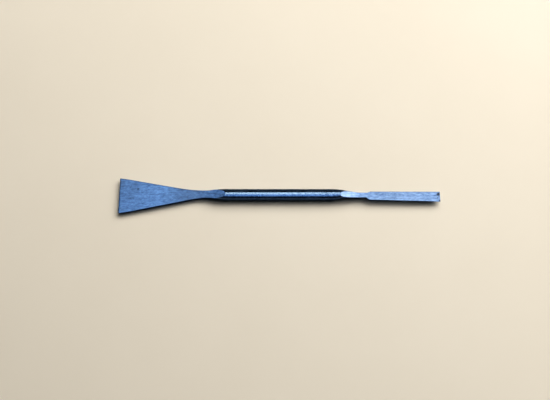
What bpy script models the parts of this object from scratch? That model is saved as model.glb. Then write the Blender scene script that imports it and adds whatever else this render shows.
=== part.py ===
"""A double-ended pry bar: a wide flared blade and a narrow blade, each scarfed onto an end of a round shank.

+X runs along the bar from the wide edge to the narrow edge, and +Z is up. The bar lies on z = 0, and the
origin is under the middle of its bounding box. A station is a distance along the bar from the front corner of
the wide edge, and y is measured from the line of the shank. Front is the -Y side, and back is the +Y side.
"""

from math import asin, cos, radians, sin, sqrt

import bmesh
import bpy
from mathutils import Vector

MM = 0.001

# Driving dimensions
LENGTH = 305 * MM
RADIUS = 5.25 * MM
JOINT_GAP = 0.3 * MM
SCARF_ANGLE = radians(30)

# Wide blade: half widths, then heights of the top face above the flat underside
WIDE_EDGE_HALF = 16.85 * MM
WIDE_FLARE_HALF = 15.8 * MM
WIDE_TURN_HALF = 5.1 * MM
WIDE_NECK_BACK = 3.9 * MM
WIDE_NECK_FRONT = 3.3 * MM
WIDE_LEAN = 0.95 * MM
WIDE_TIP_HEIGHT = 5.3 * MM
WIDE_ROOT_HEIGHT = 5.6 * MM
WIDE_BEVEL_DROP = 0.65 * MM
WIDE_BEVEL_RUN = 1.0 * MM
WIDE_GRIND_RISE = 3.65 * MM
WIDE_GRIND_RUN = 24 * MM
WIDE_SKEW = 0.85 * MM
WIDE_ROLL = radians(3.5)

# Narrow blade: distances of its back and front edges from the line of the shank, then heights
NARROW_BACK = 2.7 * MM
NARROW_FRONT_ROOT = 5.1 * MM
NARROW_FRONT_TIP = 6.75 * MM
NARROW_NECK_BACK = 1.7 * MM
NARROW_NECK_FRONT = 3.0 * MM
NARROW_TOP_ROOT = 7.3 * MM
NARROW_TOP_TIP = 6.2 * MM
NARROW_UNDERSIDE_ROOT = 3.6 * MM
NARROW_UNDERSIDE_TIP = 4.6 * MM
NARROW_BEVEL_RISE = 0.5 * MM
NARROW_BEVEL_RUN = 7 * MM
NARROW_SKEW = 0.35 * MM
NARROW_ROLL = radians(-7)

# Stations where the shape changes
WIDE_FACE_END = 82 * MM
WIDE_NECK = 76 * MM
WIDE_NECK_END = 87 * MM
WIDE_FLAT_END = 101.4 * MM
NARROW_FLAT_START = 210.2 * MM
NARROW_UNDERCUT_START = 220 * MM
NARROW_UNDERCUT_END = 238 * MM
NARROW_FACE_START = 225 * MM
NARROW_SHOULDER = 234.8 * MM
SHOULDER_RUN = 2.5 * MM
SHOULDER_LAG = 1.3 * MM
SHOULDER_ROUND = 0.8 * MM
SHOULDER_END = NARROW_SHOULDER + SHOULDER_LAG + SHOULDER_RUN + SHOULDER_ROUND
RUNOUT = 0.7 * MM
RUNOUT_DROP = 0.35 * MM
SKEW_RUN = 30 * MM
SCARF_MARGIN = 0.6 * MM

# Corner radius of the cross-section on the blades and at the two necks, and steps up each side of it
BLADE_CORNER = 0.2 * MM
NECK_CORNER = 1.5 * MM
SIDE_STEPS = 10

# Each chain is a list of corners: station, value there, and how far to either side of it the turn is rounded.
BACK_EDGE = [
    (0, WIDE_EDGE_HALF - WIDE_LEAN, 0),
    (8 * MM, WIDE_FLARE_HALF - WIDE_LEAN, 5 * MM),
    (64 * MM, WIDE_TURN_HALF, 5 * MM),
    (79 * MM, WIDE_NECK_BACK, 5 * MM),
    (WIDE_NECK_END, WIDE_NECK_BACK, 3 * MM),
    (97.5 * MM, RADIUS, 4.5 * MM),
    (208 * MM, RADIUS, 5 * MM),
    (225 * MM, NARROW_NECK_BACK, 5 * MM),
    (NARROW_SHOULDER + SHOULDER_LAG, NARROW_NECK_BACK, SHOULDER_ROUND),
    (NARROW_SHOULDER + SHOULDER_LAG + SHOULDER_RUN, NARROW_BACK, SHOULDER_ROUND),
    (LENGTH, NARROW_BACK, 0),
]
FRONT_EDGE = [
    (0, WIDE_EDGE_HALF + WIDE_LEAN, 0),
    (8 * MM, WIDE_FLARE_HALF + WIDE_LEAN, 5 * MM),
    (WIDE_NECK, WIDE_NECK_FRONT, 7 * MM),
    (WIDE_NECK_END, WIDE_NECK_FRONT, 3 * MM),
    (97.5 * MM, RADIUS, 4.5 * MM),
    (205.5 * MM, RADIUS, 4.5 * MM),
    (216.5 * MM, NARROW_NECK_FRONT, 4.5 * MM),
    (NARROW_SHOULDER, NARROW_NECK_FRONT, SHOULDER_ROUND),
    (NARROW_SHOULDER + SHOULDER_RUN, NARROW_FRONT_ROOT, SHOULDER_ROUND),
    (LENGTH, NARROW_FRONT_TIP, 0),
]
WIDE_TOP = [
    (0, WIDE_TIP_HEIGHT, 0),
    (WIDE_FACE_END, WIDE_ROOT_HEIGHT, 10 * MM),
    (WIDE_FLAT_END - RUNOUT, 2 * RADIUS - RUNOUT_DROP, 0.3 * MM),
    (WIDE_FLAT_END, 2 * RADIUS, 0),
]
NARROW_TOP = [
    (NARROW_FLAT_START, 2 * RADIUS, 0),
    (NARROW_FLAT_START + RUNOUT, 2 * RADIUS - RUNOUT_DROP, 0.3 * MM),
    (NARROW_FACE_START, NARROW_TOP_ROOT, 6 * MM),
    (LENGTH, NARROW_TOP_TIP, 0),
]
NARROW_UNDERSIDE = [
    (NARROW_UNDERCUT_START, 0, 0),
    (NARROW_UNDERCUT_END, NARROW_UNDERSIDE_ROOT, 6 * MM),
    (LENGTH, NARROW_UNDERSIDE_TIP, 0),
]
CORNER = [
    (0, BLADE_CORNER, 0),
    (66 * MM, BLADE_CORNER, 5 * MM),
    (84 * MM, NECK_CORNER, 5 * MM),
    (98 * MM, RADIUS, 3 * MM),
    (208 * MM, RADIUS, 3 * MM),
    (226 * MM, NECK_CORNER, 5 * MM),
    (236 * MM, BLADE_CORNER, 3 * MM),
    (LENGTH, BLADE_CORNER, 0),
]
ROLL = [
    (0, 0, 0),
    (78 * MM, 0, 3 * MM),
    (96 * MM, WIDE_ROLL, 3 * MM),
    (112 * MM, WIDE_ROLL, 4 * MM),
    (140 * MM, 0, 5 * MM),
    (175 * MM, 0, 5 * MM),
    (199 * MM, NARROW_ROLL, 4 * MM),
    (216 * MM, NARROW_ROLL, 3 * MM),
    (231 * MM, 0, 3 * MM),
    (LENGTH, 0, 0),
]


def along(chain, station):
    """The value of a chain at a station. Its first and last slopes run on past its ends."""
    leg = 0
    while leg < len(chain) - 2 and station > chain[leg + 1][0] + chain[leg + 1][2]:
        leg += 1
    (start, low, _), (end, high, reach) = chain[leg : leg + 2]
    slope = (high - low) / (end - start)
    value = low + slope * (station - start)
    if leg < len(chain) - 2 and station > end - reach:
        following, next_value, _ = chain[leg + 2]
        turn = (next_value - high) / (following - end) - slope
        value += turn * (station - end + reach) ** 2 / (4 * reach)
    return value


def place_along(station, y):
    """The x of a point, which leaves its station near the two edges, as both are ground out of square."""
    wide_share = max(0, 1 - station / SKEW_RUN) * ((y + WIDE_LEAN) / WIDE_EDGE_HALF + 1) / 2
    narrow_share = max(0, 1 - (LENGTH - station) / SKEW_RUN)
    narrow_share *= (y + NARROW_FRONT_TIP) / (NARROW_BACK + NARROW_FRONT_TIP)
    return station + WIDE_SKEW * wide_share - NARROW_SKEW * narrow_share


def top_height(station, x):
    """The height of the upper surface, which is cut flat on both blades and at their ramps."""
    bevel = WIDE_BEVEL_DROP * max(0, 1 - station / WIDE_BEVEL_RUN)
    return min(2 * RADIUS, along(WIDE_TOP, x) - bevel, along(NARROW_TOP, x))


def underside_height(station, x):
    """The height of the lower surface, flush with the shank's lowest line and ground up at the wide edge."""
    if x <= NARROW_UNDERCUT_START:
        return WIDE_GRIND_RISE * max(0, 1 - station / WIDE_GRIND_RUN)
    bevel = NARROW_BEVEL_RISE * max(0, 1 - (LENGTH - station) / NARROW_BEVEL_RUN)
    return max(0, along(NARROW_UNDERSIDE, x) + bevel)


def side_points(station, side):
    """One side of the cross-section, from underside to top: side is 1 for the back and -1 for the front."""
    edges = {1: along(BACK_EDGE, station), -1: along(FRONT_EDGE, station)}
    corner = min(along(CORNER, station), sum(edges.values()) / 2, RADIUS)
    x = place_along(station, side * edges[side])
    low = asin(max(-1, underside_height(station, x) / RADIUS - 1))
    high = asin(min(1, top_height(station, x) / RADIUS - 1))
    points = []
    for step in range(SIDE_STEPS + 1):
        z = RADIUS * (1 + sin(low + (high - low) * step / SIDE_STEPS))
        into_corner = max(0, abs(z - RADIUS) - RADIUS + corner)
        y = side * (edges[side] - corner + sqrt(max(0, corner**2 - into_corner**2)))
        points.append(Vector((place_along(station, y), y, z)))
    return points


def rolled(station, point):
    """Both ramps lie askew: the section turns about the shank's line, most at its top and not underneath."""
    turn = along(ROLL, station) * point.z / (2 * RADIUS)
    up = point.z - RADIUS
    height = min(2 * RADIUS, RADIUS + up * cos(turn) - point.y * sin(turn))
    return Vector((point.x, point.y * cos(turn) + up * sin(turn), height))


def section(station):
    """The closed cross-section, up its front side and down its back."""
    ring = side_points(station, -1) + side_points(station, 1)[::-1]
    return [rolled(station, point) for point in ring]


def spaced(start, end, steps):
    return [start + (end - start) * step / steps for step in range(steps)]


def stations():
    """Where the cross-sections stand: closest together where a flat runs out on the round."""
    runout = [(11 * MM) * (step / 7) ** 2 for step in range(8)]
    wide = [0] + spaced(WIDE_BEVEL_RUN, WIDE_GRIND_RUN, 3) + spaced(WIDE_GRIND_RUN, 66 * MM, 5)
    wide += spaced(66 * MM, WIDE_FLAT_END - runout[-1], 14)
    wide += [WIDE_FLAT_END - back for back in reversed(runout)] + [104 * MM, 120 * MM, 135 * MM]
    narrow = [180 * MM, 196 * MM, 203 * MM, 206 * MM, 208.5 * MM]
    narrow += [NARROW_FLAT_START + ahead for ahead in runout]
    narrow += spaced(NARROW_FLAT_START + runout[-1] + 1.5 * MM, NARROW_SHOULDER - 1 * MM, 7)
    narrow += spaced(NARROW_SHOULDER - 1 * MM, SHOULDER_END, 10)
    narrow += spaced(SHOULDER_END, LENGTH - NARROW_BEVEL_RUN, 4)
    return wide + narrow + [LENGTH - NARROW_BEVEL_RUN, LENGTH]


def whole_bar():
    """The whole outer shape as one closed mesh, lofted through the cross-sections."""
    bar = bmesh.new()
    rings = [[bar.verts.new(point) for point in section(station)] for station in stations()]
    count = len(rings[0])
    for ring, ahead in zip(rings, rings[1:]):
        for i in range(count):
            j = (i + 1) % count
            bar.faces.new((ring[i], ring[j], ahead[j], ahead[i]))
    bar.faces.new(reversed(rings[0]))
    bar.faces.new(rings[-1])
    bmesh.ops.remove_doubles(bar, verts=bar.verts, dist=0.001 * MM)
    bmesh.ops.dissolve_degenerate(bar, edges=bar.edges, dist=0.001 * MM)
    bmesh.ops.recalc_face_normals(bar, faces=bar.faces)
    return bar


def cut(bar, point, outward):
    """Removes what lies beyond a plane and closes the cut."""
    everything = bar.verts[:] + bar.edges[:] + bar.faces[:]
    plane = {"plane_co": point, "plane_no": outward}
    bmesh.ops.bisect_plane(bar, geom=everything, dist=1e-7, clear_outer=True, **plane)
    bmesh.ops.holes_fill(bar, edges=[edge for edge in bar.edges if edge.is_boundary])
    bmesh.ops.recalc_face_normals(bar, faces=bar.faces)


def steel(name, colour, roughness):
    material = bpy.data.materials.new(name)
    material.use_nodes = True
    shader = material.node_tree.nodes["Principled BSDF"]
    shader.inputs["Base Color"].default_value = (*colour, 1)
    shader.inputs["Roughness"].default_value = roughness
    shader.inputs["Metallic"].default_value = 1
    return material


def make_piece(name, cuts, origin, material, parent):
    """One piece: the bar kept on the inner side of each of its scarf cuts, with its own origin."""
    bar = whole_bar()
    for point, outward in cuts:
        cut(bar, point + outward * -JOINT_GAP / 2, outward)
    bmesh.ops.translate(bar, verts=bar.verts, vec=-origin)
    mesh = bpy.data.meshes.new(name)
    bar.to_mesh(mesh)
    bar.free()
    mesh.shade_smooth()
    mesh.set_sharp_from_angle(angle=radians(25))
    mesh.materials.append(material)
    piece = bpy.data.objects.new(name, mesh)
    bpy.context.scene.collection.objects.link(piece)
    piece.parent = parent
    piece.location = origin
    return piece


def main():
    for thing in list(bpy.data.objects):
        bpy.data.objects.remove(thing)

    bar = bpy.data.objects.new("pry_bar", None)
    bpy.context.scene.collection.objects.link(bar)
    bar.location = (-LENGTH / 2, WIDE_LEAN, 0)

    # A scarf starts on the shank's top line just past the end of a flat, and slopes down under the blade.
    towards_narrow = Vector((sin(SCARF_ANGLE), 0, -cos(SCARF_ANGLE)))
    towards_wide = Vector((-towards_narrow.x, 0, towards_narrow.z))
    wide_scarf = Vector((WIDE_FLAT_END + SCARF_MARGIN, 0, 2 * RADIUS))
    narrow_scarf = Vector((NARROW_FLAT_START - SCARF_MARGIN, 0, 2 * RADIUS))

    make_piece(
        "wide_blade",
        [(wide_scarf, towards_narrow)],
        Vector((0, 0, 0)),
        steel("wide_blade_ground_steel", (0.15, 0.25, 0.44), 0.6),
        bar,
    )
    make_piece(
        "shank",
        [(wide_scarf, -towards_narrow), (narrow_scarf, -towards_wide)],
        Vector((LENGTH / 2, 0, RADIUS)),
        steel("shank_dark_steel", (0.035, 0.06, 0.10), 0.3),
        bar,
    )
    make_piece(
        "narrow_blade",
        [(narrow_scarf, towards_wide)],
        Vector((LENGTH, 0, NARROW_TOP_TIP)),
        steel("narrow_blade_ground_steel", (0.27, 0.40, 0.66), 0.6),
        bar,
    )


main()
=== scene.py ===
"""The finished look of a double-ended pry bar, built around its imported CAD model.

+X runs along the bar from the wide edge to the narrow edge, +Z is up and the bar lies on z = 0.
A station is a distance along the bar from the front corner of the wide edge, and y is measured
from the line of the shank. Front is the -Y side, and back is the +Y side.
"""

from math import asin, cos, pi, radians, sin, sqrt, tan

import bmesh
import bpy
from mathutils import Matrix, Vector


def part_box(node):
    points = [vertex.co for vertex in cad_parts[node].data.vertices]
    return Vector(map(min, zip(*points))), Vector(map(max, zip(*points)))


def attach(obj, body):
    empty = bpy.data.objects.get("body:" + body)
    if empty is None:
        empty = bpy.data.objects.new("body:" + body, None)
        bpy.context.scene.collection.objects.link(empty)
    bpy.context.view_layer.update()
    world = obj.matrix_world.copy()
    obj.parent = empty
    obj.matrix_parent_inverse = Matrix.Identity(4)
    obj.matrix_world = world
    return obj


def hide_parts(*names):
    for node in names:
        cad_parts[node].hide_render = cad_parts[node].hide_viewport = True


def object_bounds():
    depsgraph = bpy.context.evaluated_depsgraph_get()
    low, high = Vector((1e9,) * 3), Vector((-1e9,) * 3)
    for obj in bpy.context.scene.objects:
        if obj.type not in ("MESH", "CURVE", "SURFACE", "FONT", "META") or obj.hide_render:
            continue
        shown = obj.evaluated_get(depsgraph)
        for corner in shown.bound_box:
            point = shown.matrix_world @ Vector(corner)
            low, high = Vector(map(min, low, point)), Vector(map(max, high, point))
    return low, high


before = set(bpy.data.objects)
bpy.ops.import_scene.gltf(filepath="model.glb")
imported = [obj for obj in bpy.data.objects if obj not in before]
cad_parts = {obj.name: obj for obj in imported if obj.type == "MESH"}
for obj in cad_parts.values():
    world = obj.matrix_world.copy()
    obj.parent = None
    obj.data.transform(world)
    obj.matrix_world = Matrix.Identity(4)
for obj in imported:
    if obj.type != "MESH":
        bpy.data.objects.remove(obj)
cad_low, cad_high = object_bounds()

MM = 0.001

# --------------------------------------------------------------------------------------------------
# Sizes: the driving ones come from the CAD model, and the rest repeat the design's own
# --------------------------------------------------------------------------------------------------

shank_low, shank_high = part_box("shank")
START = cad_low.x
SHANK_Y = (shank_low.y + shank_high.y) / 2
LENGTH = cad_high.x - cad_low.x
RADIUS = (shank_high.z - shank_low.z) / 2
WIDE_EDGE_HALF = (cad_high.y - cad_low.y) / 2

WIDE_FLARE_HALF = 15.8 * MM
WIDE_TURN_HALF = 5.1 * MM
WIDE_NECK_BACK = 3.9 * MM
WIDE_NECK_FRONT = 3.3 * MM
WIDE_LEAN = 0.95 * MM
WIDE_TIP_HEIGHT = 5.3 * MM
WIDE_ROOT_HEIGHT = 5.6 * MM
WIDE_BEVEL_DROP = 0.65 * MM
WIDE_BEVEL_RUN = 1.0 * MM
WIDE_GRIND_RISE = 3.65 * MM
WIDE_GRIND_RUN = 24 * MM
WIDE_SKEW = 0.85 * MM
WIDE_ROLL = radians(3.5)

NARROW_BACK = 2.7 * MM
NARROW_FRONT_ROOT = 5.1 * MM
NARROW_FRONT_TIP = 6.75 * MM
NARROW_NECK_BACK = 1.7 * MM
NARROW_NECK_FRONT = 3.0 * MM
NARROW_TOP_ROOT = 7.3 * MM
NARROW_TOP_TIP = 6.2 * MM
NARROW_UNDERSIDE_ROOT = 3.6 * MM
NARROW_UNDERSIDE_TIP = 4.6 * MM
NARROW_BEVEL_RISE = 0.5 * MM
NARROW_BEVEL_RUN = 7 * MM
NARROW_SKEW = 0.35 * MM
NARROW_ROLL = radians(-7)

WIDE_FACE_END = 82 * MM
WIDE_NECK = 76 * MM
WIDE_NECK_END = 87 * MM
WIDE_FLAT_END = 101.4 * MM
NARROW_FLAT_START = 210.2 * MM
NARROW_UNDERCUT_START = 220 * MM
NARROW_UNDERCUT_END = 238 * MM
NARROW_FACE_START = 225 * MM
NARROW_SHOULDER = 234.8 * MM
SHOULDER_RUN = 2.5 * MM
SHOULDER_LAG = 1.3 * MM
SHOULDER_ROUND = 0.8 * MM
SHOULDER_END = NARROW_SHOULDER + SHOULDER_LAG + SHOULDER_RUN + SHOULDER_ROUND
RUNOUT = 0.7 * MM
RUNOUT_DROP = 0.35 * MM
SKEW_RUN = 30 * MM

SCARF_ANGLE = radians(30)
SCARF_MARGIN = 0.6 * MM
SEAM = 0.02 * MM

BLADE_CORNER = 0.2 * MM
NECK_CORNER = 1.5 * MM
EDGE_ROUND = 0.22 * MM

# Steps round the cross-section, and distances between cross-sections
FLAT_STEPS = 36
CORNER_STEPS = 4
SIDE_STEPS = 18
COARSE = 1.5 * MM
FINE = 0.5 * MM

# Each chain is a list of corners: station, value there, and how far to either side of it the turn
# is rounded.
BACK_EDGE = [
    (0, WIDE_EDGE_HALF - WIDE_LEAN, 0),
    (8 * MM, WIDE_FLARE_HALF - WIDE_LEAN, 5 * MM),
    (64 * MM, WIDE_TURN_HALF, 5 * MM),
    (79 * MM, WIDE_NECK_BACK, 5 * MM),
    (WIDE_NECK_END, WIDE_NECK_BACK, 3 * MM),
    (97.5 * MM, RADIUS, 4.5 * MM),
    (208 * MM, RADIUS, 5 * MM),
    (225 * MM, NARROW_NECK_BACK, 5 * MM),
    (NARROW_SHOULDER + SHOULDER_LAG, NARROW_NECK_BACK, SHOULDER_ROUND),
    (NARROW_SHOULDER + SHOULDER_LAG + SHOULDER_RUN, NARROW_BACK, SHOULDER_ROUND),
    (LENGTH, NARROW_BACK, 0),
]
FRONT_EDGE = [
    (0, WIDE_EDGE_HALF + WIDE_LEAN, 0),
    (8 * MM, WIDE_FLARE_HALF + WIDE_LEAN, 5 * MM),
    (WIDE_NECK, WIDE_NECK_FRONT, 7 * MM),
    (WIDE_NECK_END, WIDE_NECK_FRONT, 3 * MM),
    (97.5 * MM, RADIUS, 4.5 * MM),
    (205.5 * MM, RADIUS, 4.5 * MM),
    (216.5 * MM, NARROW_NECK_FRONT, 4.5 * MM),
    (NARROW_SHOULDER, NARROW_NECK_FRONT, SHOULDER_ROUND),
    (NARROW_SHOULDER + SHOULDER_RUN, NARROW_FRONT_ROOT, SHOULDER_ROUND),
    (LENGTH, NARROW_FRONT_TIP, 0),
]
WIDE_TOP = [
    (0, WIDE_TIP_HEIGHT, 0),
    (WIDE_FACE_END, WIDE_ROOT_HEIGHT, 10 * MM),
    (WIDE_FLAT_END - RUNOUT, 2 * RADIUS - RUNOUT_DROP, 0.3 * MM),
    (WIDE_FLAT_END, 2 * RADIUS, 0),
]
NARROW_TOP = [
    (NARROW_FLAT_START, 2 * RADIUS, 0),
    (NARROW_FLAT_START + RUNOUT, 2 * RADIUS - RUNOUT_DROP, 0.3 * MM),
    (NARROW_FACE_START, NARROW_TOP_ROOT, 6 * MM),
    (LENGTH, NARROW_TOP_TIP, 0),
]
NARROW_UNDERSIDE = [
    (NARROW_UNDERCUT_START, 0, 0),
    (NARROW_UNDERCUT_END, NARROW_UNDERSIDE_ROOT, 6 * MM),
    (LENGTH, NARROW_UNDERSIDE_TIP, 0),
]
CORNER = [
    (0, BLADE_CORNER, 0),
    (66 * MM, BLADE_CORNER, 5 * MM),
    (84 * MM, NECK_CORNER, 5 * MM),
    (98 * MM, RADIUS, 3 * MM),
    (208 * MM, RADIUS, 3 * MM),
    (226 * MM, NECK_CORNER, 5 * MM),
    (236 * MM, BLADE_CORNER, 3 * MM),
    (LENGTH, BLADE_CORNER, 0),
]
ROLL = [
    (0, 0, 0),
    (78 * MM, 0, 3 * MM),
    (96 * MM, WIDE_ROLL, 3 * MM),
    (112 * MM, WIDE_ROLL, 4 * MM),
    (140 * MM, 0, 5 * MM),
    (175 * MM, 0, 5 * MM),
    (199 * MM, NARROW_ROLL, 4 * MM),
    (216 * MM, NARROW_ROLL, 3 * MM),
    (231 * MM, 0, 3 * MM),
    (LENGTH, 0, 0),
]


def along(chain, station):
    """The value of a chain at a station. Its first and last slopes run on past its ends."""
    leg = 0
    while leg < len(chain) - 2 and station > chain[leg + 1][0] + chain[leg + 1][2]:
        leg += 1
    (start, low, _), (end, high, reach) = chain[leg : leg + 2]
    slope = (high - low) / (end - start)
    value = low + slope * (station - start)
    if leg < len(chain) - 2 and station > end - reach:
        following, next_value, _ = chain[leg + 2]
        turn = (next_value - high) / (following - end) - slope
        value += turn * (station - end + reach) ** 2 / (4 * reach)
    return value


def place_along(station, y):
    """The distance along the bar of a point, which leaves its station near the two edges.

    Both edges are ground a little out of square.
    """
    wide_share = max(0, 1 - station / SKEW_RUN) * ((y + WIDE_LEAN) / WIDE_EDGE_HALF + 1) / 2
    narrow_share = max(0, 1 - (LENGTH - station) / SKEW_RUN)
    narrow_share *= (y + NARROW_FRONT_TIP) / (NARROW_BACK + NARROW_FRONT_TIP)
    return station + WIDE_SKEW * wide_share - NARROW_SKEW * narrow_share


def top_height(station, x):
    """The height of the upper surface, which is cut flat on both blades and at their ramps."""
    bevel = WIDE_BEVEL_DROP * max(0, 1 - station / WIDE_BEVEL_RUN)
    return min(2 * RADIUS, along(WIDE_TOP, x) - bevel, along(NARROW_TOP, x))


def underside_height(station, x):
    """The height of the lower surface.

    It is flush with the shank's lowest line, ground up at the wide edge and undercut at the narrow
    blade.
    """
    if x <= NARROW_UNDERCUT_START:
        return WIDE_GRIND_RISE * max(0, 1 - station / WIDE_GRIND_RUN)
    bevel = NARROW_BEVEL_RISE * max(0, 1 - (LENGTH - station) / NARROW_BEVEL_RUN)
    return max(0, along(NARROW_UNDERSIDE, x) + bevel)


# --------------------------------------------------------------------------------------------------
# Cross-sections
# --------------------------------------------------------------------------------------------------


def side_reach(station, side, z):
    """How far the side reaches from the line of the shank at a height.

    The second value is how square to the flats the side is there.
    """
    edges = {1: along(BACK_EDGE, station), -1: along(FRONT_EDGE, station)}
    corner = min(along(CORNER, station), sum(edges.values()) / 2, RADIUS)
    into_corner = max(0, abs(z - RADIUS) - RADIUS + corner)
    rise = sqrt(max(0, corner**2 - into_corner**2))
    return edges[side] - corner + rise, (rise / corner) ** 2


def side_profile(station, side):
    """One side from the underside to the top, as (reach, height).

    It has a small round at each sharp corner.
    """
    x = place_along(station, side * side_reach(station, side, RADIUS)[0])
    low = underside_height(station, x)
    high = top_height(station, x)
    room = (high - low) / 3
    low_round = min(EDGE_ROUND, room) * side_reach(station, side, low)[1]
    high_round = min(EDGE_ROUND, room) * side_reach(station, side, high)[1]
    reach, _ = side_reach(station, side, low + low_round)
    points = []
    for step in range(CORNER_STEPS):
        turn = pi / 2 * step / CORNER_STEPS
        points.append((reach - low_round * (1 - sin(turn)), low + low_round * (1 - cos(turn))))
    start = asin(max(-1, (low + low_round) / RADIUS - 1))
    end = asin(min(1, (high - high_round) / RADIUS - 1))
    for step in range(SIDE_STEPS + 1):
        z = RADIUS * (1 + sin(start + (end - start) * step / SIDE_STEPS))
        points.append((side_reach(station, side, z)[0], z))
    reach, _ = side_reach(station, side, high - high_round)
    for step in range(1, CORNER_STEPS + 1):
        turn = pi / 2 * step / CORNER_STEPS
        points.append((reach - high_round * (1 - cos(turn)), high - high_round * (1 - sin(turn))))
    return points


def flat_run(station, start, end, height):
    """The points inside a flat between two (y, z) corners, on the flat's own plane."""
    points = []
    for step in range(1, FLAT_STEPS):
        y = start + (end - start) * step / FLAT_STEPS
        points.append((y, height(station, place_along(station, y))))
    return points


def rolled(station, point):
    """Both ramps lie askew, so the section turns about the shank's line.

    It turns most at its top and not at all underneath.
    """
    turn = along(ROLL, station) * point.z / (2 * RADIUS)
    up = point.z - RADIUS
    height = min(2 * RADIUS, RADIUS + up * cos(turn) - point.y * sin(turn))
    return Vector((point.x, point.y * cos(turn) + up * sin(turn), height))


def section(station):
    """The closed cross-section: over the underside, up the back, over the top and down the front."""
    back = side_profile(station, 1)
    front = [(-reach, z) for reach, z in side_profile(station, -1)]
    under = flat_run(station, front[0][0], back[0][0], underside_height)
    top = flat_run(station, back[-1][0], front[-1][0], top_height)
    ring = [front[0]] + under + back + top + front[:0:-1]
    points = [Vector((START + place_along(station, y), y, z)) for y, z in ring]
    return [rolled(station, point) + Vector((0, SHANK_Y, 0)) for point in points]


# What each step round the cross-section belongs to, in the order of section()
SIDE_RUN = ["edge"] * CORNER_STEPS + ["side"] * SIDE_STEPS + ["edge"] * CORNER_STEPS
REGIONS = ["flat"] * FLAT_STEPS + SIDE_RUN + ["flat"] * FLAT_STEPS + SIDE_RUN


def spread(start, end, spacing):
    """Even steps from the start up to, but not at, the end."""
    count = max(1, round((end - start) / spacing))
    return [start + (end - start) * step / count for step in range(count)]


def runout():
    """Distances from the tip of a flat on the round, closest together at the tip."""
    return [12 * MM * (step / 24) ** 2 for step in range(25)]


def stations():
    """Where the cross-sections stand."""
    wide = spread(0, WIDE_BEVEL_RUN, 0.25 * MM) + spread(WIDE_BEVEL_RUN, WIDE_GRIND_RUN, FINE)
    wide += spread(WIDE_GRIND_RUN, 66 * MM, COARSE) + spread(66 * MM, WIDE_FLAT_END - 12 * MM, 0.8 * MM)
    wide += [WIDE_FLAT_END - step for step in reversed(runout())]
    middle = spread(WIDE_FLAT_END + 0.4 * MM, NARROW_FLAT_START - 12 * MM, 3 * MM)
    middle += spread(NARROW_FLAT_START - 12 * MM, NARROW_FLAT_START - 0.2 * MM, 0.8 * MM)
    narrow = [NARROW_FLAT_START + step for step in runout()]
    narrow += spread(NARROW_FLAT_START + 12.6 * MM, NARROW_SHOULDER - 1 * MM, 0.7 * MM)
    narrow += spread(NARROW_SHOULDER - 1 * MM, SHOULDER_END, 0.2 * MM)
    narrow += spread(SHOULDER_END, LENGTH - 10 * MM, COARSE)
    narrow += spread(LENGTH - 10 * MM, LENGTH, FINE) + [LENGTH]
    return wide + middle + narrow


# --------------------------------------------------------------------------------------------------
# The pieces' meshes
# --------------------------------------------------------------------------------------------------


def whole_bar():
    """The whole outer surface as one closed mesh.

    Slot 0 is ground steel and slot 1 is the dark forged surface.
    """
    bar = bmesh.new()
    rings = [[bar.verts.new(point) for point in section(station)] for station in stations()]
    count = len(REGIONS)
    for ring, ahead in zip(rings, rings[1:]):
        for i, region in enumerate(REGIONS):
            j = (i + 1) % count
            face = bar.faces.new((ring[i], ahead[i], ahead[j], ring[j]))
            face.material_index = 1 if region == "side" else 0
            face.smooth = True
    bar.faces.new(reversed(rings[0]))
    bar.faces.new(rings[-1])
    bmesh.ops.remove_doubles(bar, verts=bar.verts, dist=0.001 * MM)
    bmesh.ops.dissolve_degenerate(bar, edges=bar.edges, dist=0.001 * MM)
    bmesh.ops.recalc_face_normals(bar, faces=bar.faces)
    return bar


def cut(bar, point, outward):
    """Removes what lies beyond a plane and closes the cut."""
    everything = bar.verts[:] + bar.edges[:] + bar.faces[:]
    plane = {"plane_co": point, "plane_no": outward}
    bmesh.ops.bisect_plane(bar, geom=everything, dist=1e-7, clear_outer=True, **plane)
    bmesh.ops.holes_fill(bar, edges=[edge for edge in bar.edges if edge.is_boundary])
    bmesh.ops.recalc_face_normals(bar, faces=bar.faces)


def make_piece(name, node, cuts, materials):
    """One piece of the bar in place of its CAD node, kept on the inner side of each of its cuts."""
    bar = whole_bar()
    for point, outward in cuts:
        cut(bar, point + outward * -SEAM / 2, outward)
    mesh = bpy.data.meshes.new(name)
    bar.to_mesh(mesh)
    bar.free()
    mesh.set_sharp_from_angle(angle=radians(28))
    for material in materials:
        mesh.materials.append(material)
    piece = bpy.data.objects.new(name, mesh)
    bpy.context.scene.collection.objects.link(piece)
    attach(piece, "root")
    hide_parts(node)
    return piece


# --------------------------------------------------------------------------------------------------
# Materials
# --------------------------------------------------------------------------------------------------


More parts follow.
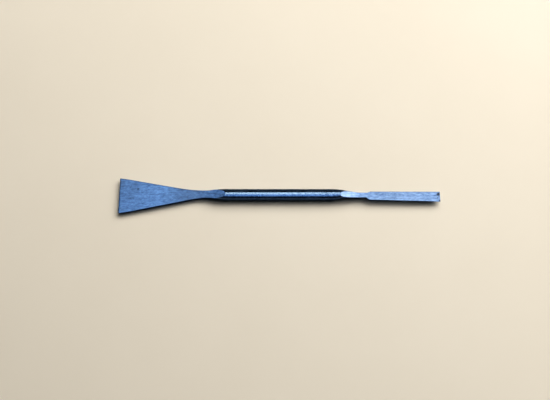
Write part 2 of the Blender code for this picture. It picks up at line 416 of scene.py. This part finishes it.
class Shading:
    """A material's node tree, with one short call for each kind of node."""

    def __init__(self, name):
        self.material = bpy.data.materials.new(name)
        self.material.use_nodes = True
        self.tree = self.material.node_tree
        self.shader = self.tree.nodes["Principled BSDF"]
        self.place = self.tree.nodes.new("ShaderNodeTexCoord").outputs["Object"]

    def node(self, kind, inputs, **settings):
        made = self.tree.nodes.new(kind)
        for setting, value in settings.items():
            setattr(made, setting, value)
        for socket, value in inputs.items():
            if isinstance(value, bpy.types.NodeSocket):
                self.tree.links.new(value, made.inputs[socket])
            else:
                made.inputs[socket].default_value = value
        return made

    def math(self, operation, first, second=0.0, third=0.0, clamp=False):
        inputs = {0: first, 1: second, 2: third}
        return self.node("ShaderNodeMath", inputs, operation=operation, use_clamp=clamp).outputs[0]

    def noise(self, scale, detail=3.0, roughness=0.55, distortion=0.0, turn=0.0):
        """Noise from 0 to 1 with its own number of waves per metre along each axis, turned about Z."""
        inputs = {"Vector": self.place, "Angle": turn}
        turned = self.node("ShaderNodeVectorRotate", inputs, rotation_type="Z_AXIS")
        inputs = {0: turned.outputs[0], 1: scale}
        stretched = self.node("ShaderNodeVectorMath", inputs, operation="MULTIPLY")
        inputs = {"Vector": stretched.outputs[0], "Scale": 1.0, "Detail": detail}
        inputs.update({"Roughness": roughness, "Distortion": distortion})
        return self.node("ShaderNodeTexNoise", inputs, noise_dimensions="3D").outputs[0]

    def span(self, value, low, high, to_low=0.0, to_high=1.0):
        """Maps a value's range onto another, held at its ends."""
        inputs = {0: value, 1: low, 2: high, 3: to_low, 4: to_high}
        return self.node("ShaderNodeMapRange", inputs, clamp=True).outputs[0]

    def mix(self, factor, first, second):
        inputs = {0: factor, 6: first, 7: second}
        return self.node("ShaderNodeMix", inputs, data_type="RGBA").outputs[2]

    def spot(self, x, y, radius):
        """1 inside a ragged round patch on the bar and 0 outside it."""
        split = self.node("ShaderNodeSeparateXYZ", {0: self.place})
        across = self.math("SUBTRACT", split.outputs[0], x)
        over = self.math("SUBTRACT", split.outputs[1], y)
        square = self.math("MULTIPLY_ADD", over, over, self.math("MULTIPLY", across, across))
        reach = self.math("DIVIDE", self.math("SQRT", square), radius)
        ragged = self.math("ADD", self.noise((900, 900, 900)), -0.5)
        return self.span(self.math("ADD", reach, ragged), 0.55, 1.1, 1.0, 0.0)

    def painted_shading(self, stops):
        """Painted shading: a brightness that changes evenly from each (station, brightness) to the
        next.
        """
        x = self.node("ShaderNodeSeparateXYZ", {0: self.place}).outputs[0]
        value = stops[0][1]
        for (start, before), (end, after) in zip(stops, stops[1:]):
            change = self.span(x, START + start, START + end, 0.0, after - before)
            value = self.math("ADD", change, value)
        return value

    def beside(self, start, end, reach):
        """1 on the straight line through two (station, y) points, and 0 at its reach and beyond."""
        start, end = (Vector((START + station, SHANK_Y + y, 0)) for station, y in (start, end))
        square = Vector((start.y - end.y, end.x - start.x, 0)).normalized()
        inputs = {0: self.place, 1: start}
        from_start = self.node("ShaderNodeVectorMath", inputs, operation="SUBTRACT")
        inputs = {0: from_start.outputs[0], 1: square}
        distance = self.node("ShaderNodeVectorMath", inputs, operation="DOT_PRODUCT")
        return self.span(self.math("ABSOLUTE", distance.outputs["Value"]), 0, reach, 1, 0)

    def bump(self, height, distance):
        inputs = {"Height": height, "Distance": distance, "Strength": 1.0}
        return self.node("ShaderNodeBump", inputs).outputs[0]

    def connect(self, **sockets):
        for name, value in sockets.items():
            socket = self.shader.inputs[name.replace("_", " ")]
            if isinstance(value, bpy.types.NodeSocket):
                self.tree.links.new(value, socket)
            else:
                socket.default_value = value


def ground_steel(name, base, dark, painted_shading, spots, edges):
    """Matt ground steel under a thin blue oxide, mottled, scratched and stained, with painted shading.
    """
    look = Shading(name)
    cloud = look.noise((70, 110, 70), detail=4.0, roughness=0.6, distortion=0.6)
    blotch = look.noise((230, 420, 230), detail=3.0, roughness=0.6, distortion=1.2)
    fleck = look.noise((260, 850, 260), detail=3.0, roughness=0.75)
    stroke = look.noise((110, 900, 110), detail=3.0, roughness=0.6, distortion=0.5, turn=radians(-35))
    scratch = look.noise((50, 1900, 50), detail=3.0, roughness=0.7)
    tone = look.span(cloud, 0.3, 0.7, 0.3, 0.7)
    for layer, share in ((blotch, 0.45), (fleck, 0.8), (stroke, 0.2), (scratch, 0.5)):
        tone = look.math("ADD", tone, look.span(layer, 0.3, 0.7, -share, share))
    colour = look.mix(look.span(tone, -0.4, 1.4), (*dark, 1), (*base, 1))
    # Painted light and shading along the bar scales the steel's colour
    brightness = look.painted_shading(painted_shading)
    # Painted highlights and shading along the edges of the faces
    for start, end, reach, change in edges:
        edge_shading = look.math("MULTIPLY_ADD", look.beside(start, end, reach), change, 1.0)
        brightness = look.math("MULTIPLY", brightness, edge_shading)
    scaled = look.node("ShaderNodeVectorMath", {0: colour, "Scale": brightness}, operation="SCALE")
    colour = scaled.outputs[0]
    for station, y, radius, depth, tint in spots:
        patch = look.math("MULTIPLY", look.spot(START + station, SHANK_Y + y, radius), depth)
        colour = look.mix(patch, colour, (*tint, 1))
    rough = look.span(blotch, 0.25, 0.75, 0.44, 0.58)
    relief = look.math("MULTIPLY_ADD", scratch, 0.5, look.math("MULTIPLY", fleck, 0.5))
    relief = look.math("MULTIPLY_ADD", blotch, 0.8, relief)
    look.connect(Base_Color=colour, Roughness=rough, Normal=look.bump(relief, 0.04 * MM), Metallic=0.5)
    return look.material


def dark_steel(name, base, bright, roughness):
    """Glossy dark steel with a fine speckled skin."""
    look = Shading(name)
    pebble = look.noise((700, 1400, 1400), detail=3.0, roughness=0.6)
    drawn = look.noise((40, 2600, 2600), detail=2.0, roughness=0.6)
    cloud = look.noise((60, 200, 200), detail=3.0, roughness=0.6)
    cloudy = look.span(cloud, 0.3, 0.7, 0, 0.3)
    tone = look.math("MULTIPLY_ADD", look.span(pebble, 0.35, 0.65), 0.7, cloudy, clamp=True)
    colour = look.mix(tone, (*base, 1), (*bright, 1))
    rough = look.span(cloud, 0.3, 0.7, roughness - 0.05, roughness + 0.07)
    relief = look.math("MULTIPLY_ADD", drawn, 0.4, look.math("MULTIPLY", pebble, 0.8))
    normal = look.bump(relief, 0.05 * MM)
    look.connect(Base_Color=colour, Roughness=rough, Normal=normal, Metallic=1.0)
    look.connect(Specular_Tint=(0.2, 0.25, 0.3, 1))
    return look.material


# --------------------------------------------------------------------------------------------------
# The object
# --------------------------------------------------------------------------------------------------

wide_scarf = Vector((START + WIDE_FLAT_END + SCARF_MARGIN, 0, 2 * RADIUS))
narrow_scarf = Vector((START + NARROW_FLAT_START - SCARF_MARGIN, 0, 2 * RADIUS))
past_wide = Vector((sin(SCARF_ANGLE), 0, -cos(SCARF_ANGLE)))
past_narrow = Vector((-past_wide.x, 0, past_wide.z))

STAIN = (0.01, 0.018, 0.035)
BARE_STEEL_AND_HIGHLIGHT = (0.52, 0.62, 0.72)

# Stains and a pale ramp patch (bare steel, painted highlight), as station, y, radius, depth and colour
WIDE_SPOTS = [
    (18.5 * MM, 5.6 * MM, 1.3 * MM, 0.55, STAIN),
    (15.5 * MM, 6.8 * MM, 5.0 * MM, 0.15, STAIN),
    (14.2 * MM, -3.6 * MM, 1.1 * MM, 0.28, STAIN),
    (12.0 * MM, -2.2 * MM, 4.0 * MM, 0.1, STAIN),
    (1.5 * MM, 13.0 * MM, 9.0 * MM, 0.16, STAIN),
]
NARROW_SPOTS = [
    # Partly bare steel, partly a painted highlight that whitens the lit ramp
    (213.0 * MM, 0.2 * MM, 14.0 * MM, 0.16, BARE_STEEL_AND_HIGHLIGHT),
    (303.2 * MM, 0.3 * MM, 1.7 * MM, 1.0, STAIN),
    (302.4 * MM, -3.2 * MM, 0.8 * MM, 0.7, STAIN),
    (304.3 * MM, -5.8 * MM, 1.0 * MM, 0.9, STAIN),
    (244.0 * MM, 0.4 * MM, 1.6 * MM, 0.2, STAIN),
    (266.0 * MM, -1.2 * MM, 2.2 * MM, 0.14, STAIN),
]

# Painted light and shading along each blade: darkest before the wide neck and lightest on the ramps
WIDE_PAINTED_SHADING = [
    (4 * MM, 0.98),
    (40 * MM, 1.05),
    (62 * MM, 0.72),
    (72 * MM, 0.68),
    (77 * MM, 0.86),
    (83 * MM, 1.05),
    (88 * MM, 1.26),
    (98 * MM, 1.12),
    (101 * MM, 1.3),
]
NARROW_PAINTED_SHADING = [(213 * MM, 1.35), (221 * MM, 1.3), (232 * MM, 1.06), (262 * MM, 0.92), (300 * MM, 0.98)]

# Painted edge highlights and shading: two (station, y) points, reach and change of brightness there
WIDE_EDGE_SHADING = [
    ((8 * MM, WIDE_FLARE_HALF - WIDE_LEAN), (64 * MM, WIDE_TURN_HALF), 1.2 * MM, -0.3),
    ((0, 0), (0.2 * MM, WIDE_EDGE_HALF), 2.0 * MM, -0.25),
]
NARROW_EDGE_SHADING = [
    ((NARROW_SHOULDER, -NARROW_FRONT_ROOT), (LENGTH, -NARROW_FRONT_TIP), 1.3 * MM, 0.35),
    ((NARROW_SHOULDER, NARROW_BACK), (LENGTH, NARROW_BACK), 1.0 * MM, -0.25),
]

# The narrow blade's steel is lighter than the wide blade's: partly its own paler finish, partly painted
# light
wide_ground = ground_steel(
    "wide_ground", (0.124, 0.242, 0.475), (0.052, 0.11, 0.238), WIDE_PAINTED_SHADING, WIDE_SPOTS, WIDE_EDGE_SHADING
)
narrow_ground = ground_steel(
    "narrow_ground", (0.205, 0.3, 0.475), (0.05, 0.096, 0.19), NARROW_PAINTED_SHADING, NARROW_SPOTS, NARROW_EDGE_SHADING
)
dark = dark_steel("dark_steel", (0.025, 0.045, 0.085), (0.125, 0.18, 0.28), 0.28)

make_piece(
    "wide_blade_steel",
    "wide_blade",
    [(wide_scarf, past_wide)],
    [wide_ground, dark],
)
make_piece(
    "shank_steel",
    "shank",
    [(wide_scarf, -past_wide), (narrow_scarf, -past_narrow)],
    [dark, dark],
)
make_piece(
    "narrow_blade_steel",
    "narrow_blade",
    [(narrow_scarf, past_narrow)],
    [narrow_ground, dark],
)

# --------------------------------------------------------------------------------------------------
# Floor, light and camera
# --------------------------------------------------------------------------------------------------


def add_floor():
    """A plain pale floor, with a faint unevenness of tone."""
    floor_mesh = bpy.data.meshes.new("floor")
    half = 4.0
    corners = [(-half, -half, 0), (half, -half, 0), (half, half, 0), (-half, half, 0)]
    floor_mesh.from_pydata(corners, [], [(0, 1, 2, 3)])
    floor = bpy.data.objects.new("floor", floor_mesh)
    bpy.context.scene.collection.objects.link(floor)
    look = Shading("pale_floor")
    tone = look.noise((9, 9, 9), detail=4.0)
    colour = look.mix(tone, (0.80, 0.725, 0.60, 1), (0.84, 0.765, 0.64, 1))
    look.connect(Base_Color=colour, Roughness=0.8)
    floor_mesh.materials.append(look.material)


LIGHT_DISTANCE = 2.0
CARD_DISTANCE = 1.2


def add_softbox(name, tilt_x, tilt_y, brightness, colour=(1, 1, 1), card=False):
    """A soft light over the bar, between two tilts from straight up along X and two along Y.

    The tilts are in degrees, and the brightness is in watts for each square metre of the light's
    face. A card only shows in reflections: it shapes the gloss of the steel and throws no light on
    the floor. The other lights show in no reflection.
    """
    distance = CARD_DISTANCE if card else LIGHT_DISTANCE
    middle_x, half_x = sum(tilt_x) / 2, (tilt_x[1] - tilt_x[0]) / 2
    middle_y, half_y = sum(tilt_y) / 2, (tilt_y[1] - tilt_y[0]) / 2
    light = bpy.data.lights.new(name, "AREA")
    light.shape = "RECTANGLE"
    light.size = 2 * distance * tan(radians(half_x))
    light.size_y = 2 * distance * tan(radians(half_y))
    light.energy = brightness * light.size * light.size_y
    light.color = colour
    lamp = bpy.data.objects.new(name, light)
    bpy.context.scene.collection.objects.link(lamp)
    away = Vector((tan(radians(middle_x)), tan(radians(middle_y)), 1)).normalized()
    across = (Vector((1, 0, 0)) - away * away.x).normalized()
    lamp.location = away * distance
    lamp.rotation_mode = "QUATERNION"
    lamp.rotation_quaternion = Matrix((across, away.cross(across), away)).transposed().to_quaternion()
    lamp.visible_diffuse = not card
    lamp.visible_glossy = card


def add_world(colour, strength):
    """A dim even surround for the steel to reflect, which leaves the floor's shadows dark."""
    world = bpy.data.worlds.new("studio")
    world.use_nodes = True
    background = world.node_tree.nodes["Background"]
    background.inputs["Color"].default_value = (*colour, 1)
    background.inputs["Strength"].default_value = strength
    world.cycles_visibility.diffuse = False
    bpy.context.scene.world = world


def add_camera():
    """Looks down on the bar from a little in front of straight overhead."""
    elevation = radians(79.6)
    lens = 50
    sensor = 36
    frame_width = 0.5213
    distance = frame_width * lens / sensor
    target = Vector((-4.05 * MM, SHANK_Y - 5.1 * MM, RADIUS))
    data = bpy.data.cameras.new("camera")
    data.lens = lens
    data.sensor_width = sensor
    camera = bpy.data.objects.new("camera", data)
    bpy.context.scene.collection.objects.link(camera)
    towards_camera = Vector((0, -cos(elevation), sin(elevation)))
    camera.location = target + towards_camera * distance
    camera.rotation_mode = "QUATERNION"
    camera.rotation_quaternion = towards_camera.to_track_quat("Z", "Y")
    bpy.context.scene.camera = camera


add_floor()
add_softbox("key_softbox", (-5, 60), (26, 58), 12.1)
add_softbox("high_softbox", (-5, 60), (6, 42), 4.1)
add_softbox("blade_card", (14, 46), (-24, 40), 11, card=True)
add_softbox("shank_card", (-9, 9), (0, 38), 20, (1.08, 1, 0.8), card=True)
add_softbox("shank_low_card", (-9, 9), (-42, 0), 9, (0.6, 0.83, 1.1), card=True)
add_softbox("left_card", (-74, -52), (-55, 55), 2.2, card=True)
add_softbox("right_card", (52, 74), (-55, 55), 2.2, card=True)
add_world((0.8, 0.88, 1.0), 0.06)
add_camera()
bpy.context.scene.view_settings.view_transform = "Standard"
bpy.context.scene.view_settings.look = "High Contrast"
